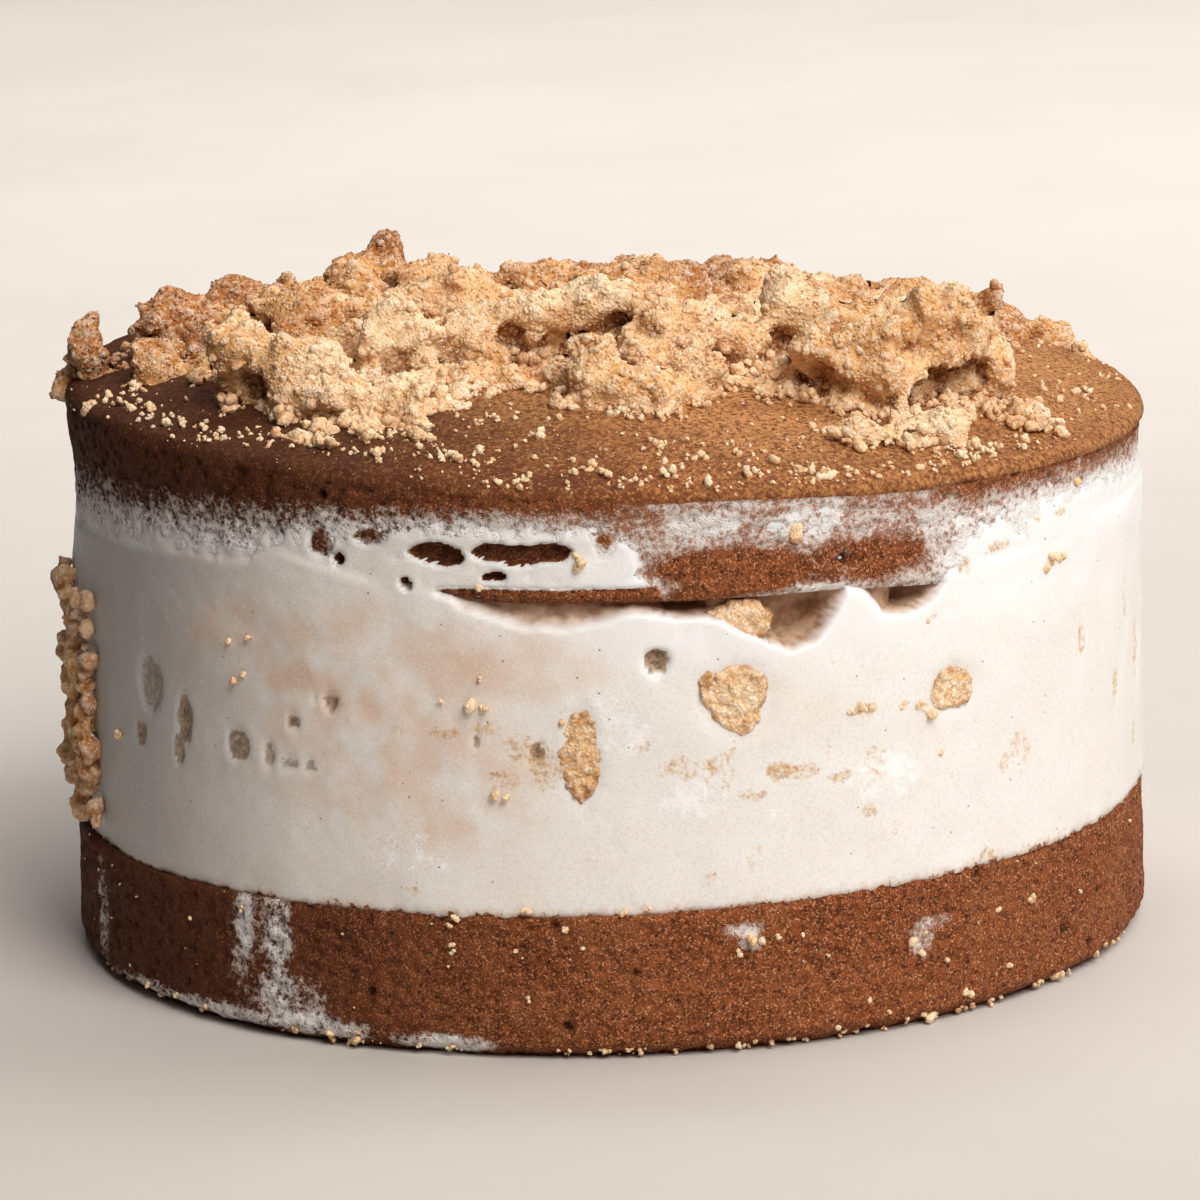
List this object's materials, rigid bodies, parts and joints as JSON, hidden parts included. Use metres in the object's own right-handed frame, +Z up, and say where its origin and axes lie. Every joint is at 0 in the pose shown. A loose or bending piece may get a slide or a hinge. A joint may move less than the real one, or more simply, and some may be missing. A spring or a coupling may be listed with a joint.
{
  "type": "ice cream cake",
  "caption": "Round dessert cake: ice cream with frozen crumb pieces between a flat sponge and a domed sponge, under a heap of streusel crumbs.",
  "frame": {"origin": "middle of the flat underside, on the axis of the lower sponge", "axes": "+Z up through the cake, -Y towards the front where the upper sponge's lip stands bare"},
  "size_m": [0.1567, 0.1533, 0.0995],
  "materials": {
    "base_sponge": "brown baked sponge with fine open pores",
    "ice_cream": "pale vanilla ice cream, fine icy grain, dark specks",
    "top_sponge": "golden brown baked sponge, darker at the rim",
    "crumb": "pale golden baked crumb with white sugar grains",
    "frozen_crumb": "tan crumb piece frosted with ice cream"
  },
  "bodies": {
    "root": {"base_cake": "base_sponge", "ice_cream": "ice_cream", "top_cake": "top_sponge", "crumb_topping": "crumb", "inclusion_front": "frozen_crumb", "inclusion_right": "frozen_crumb", "inclusion_long": "frozen_crumb", "inclusion_gap": "frozen_crumb"}
  },
  "joints": []
}
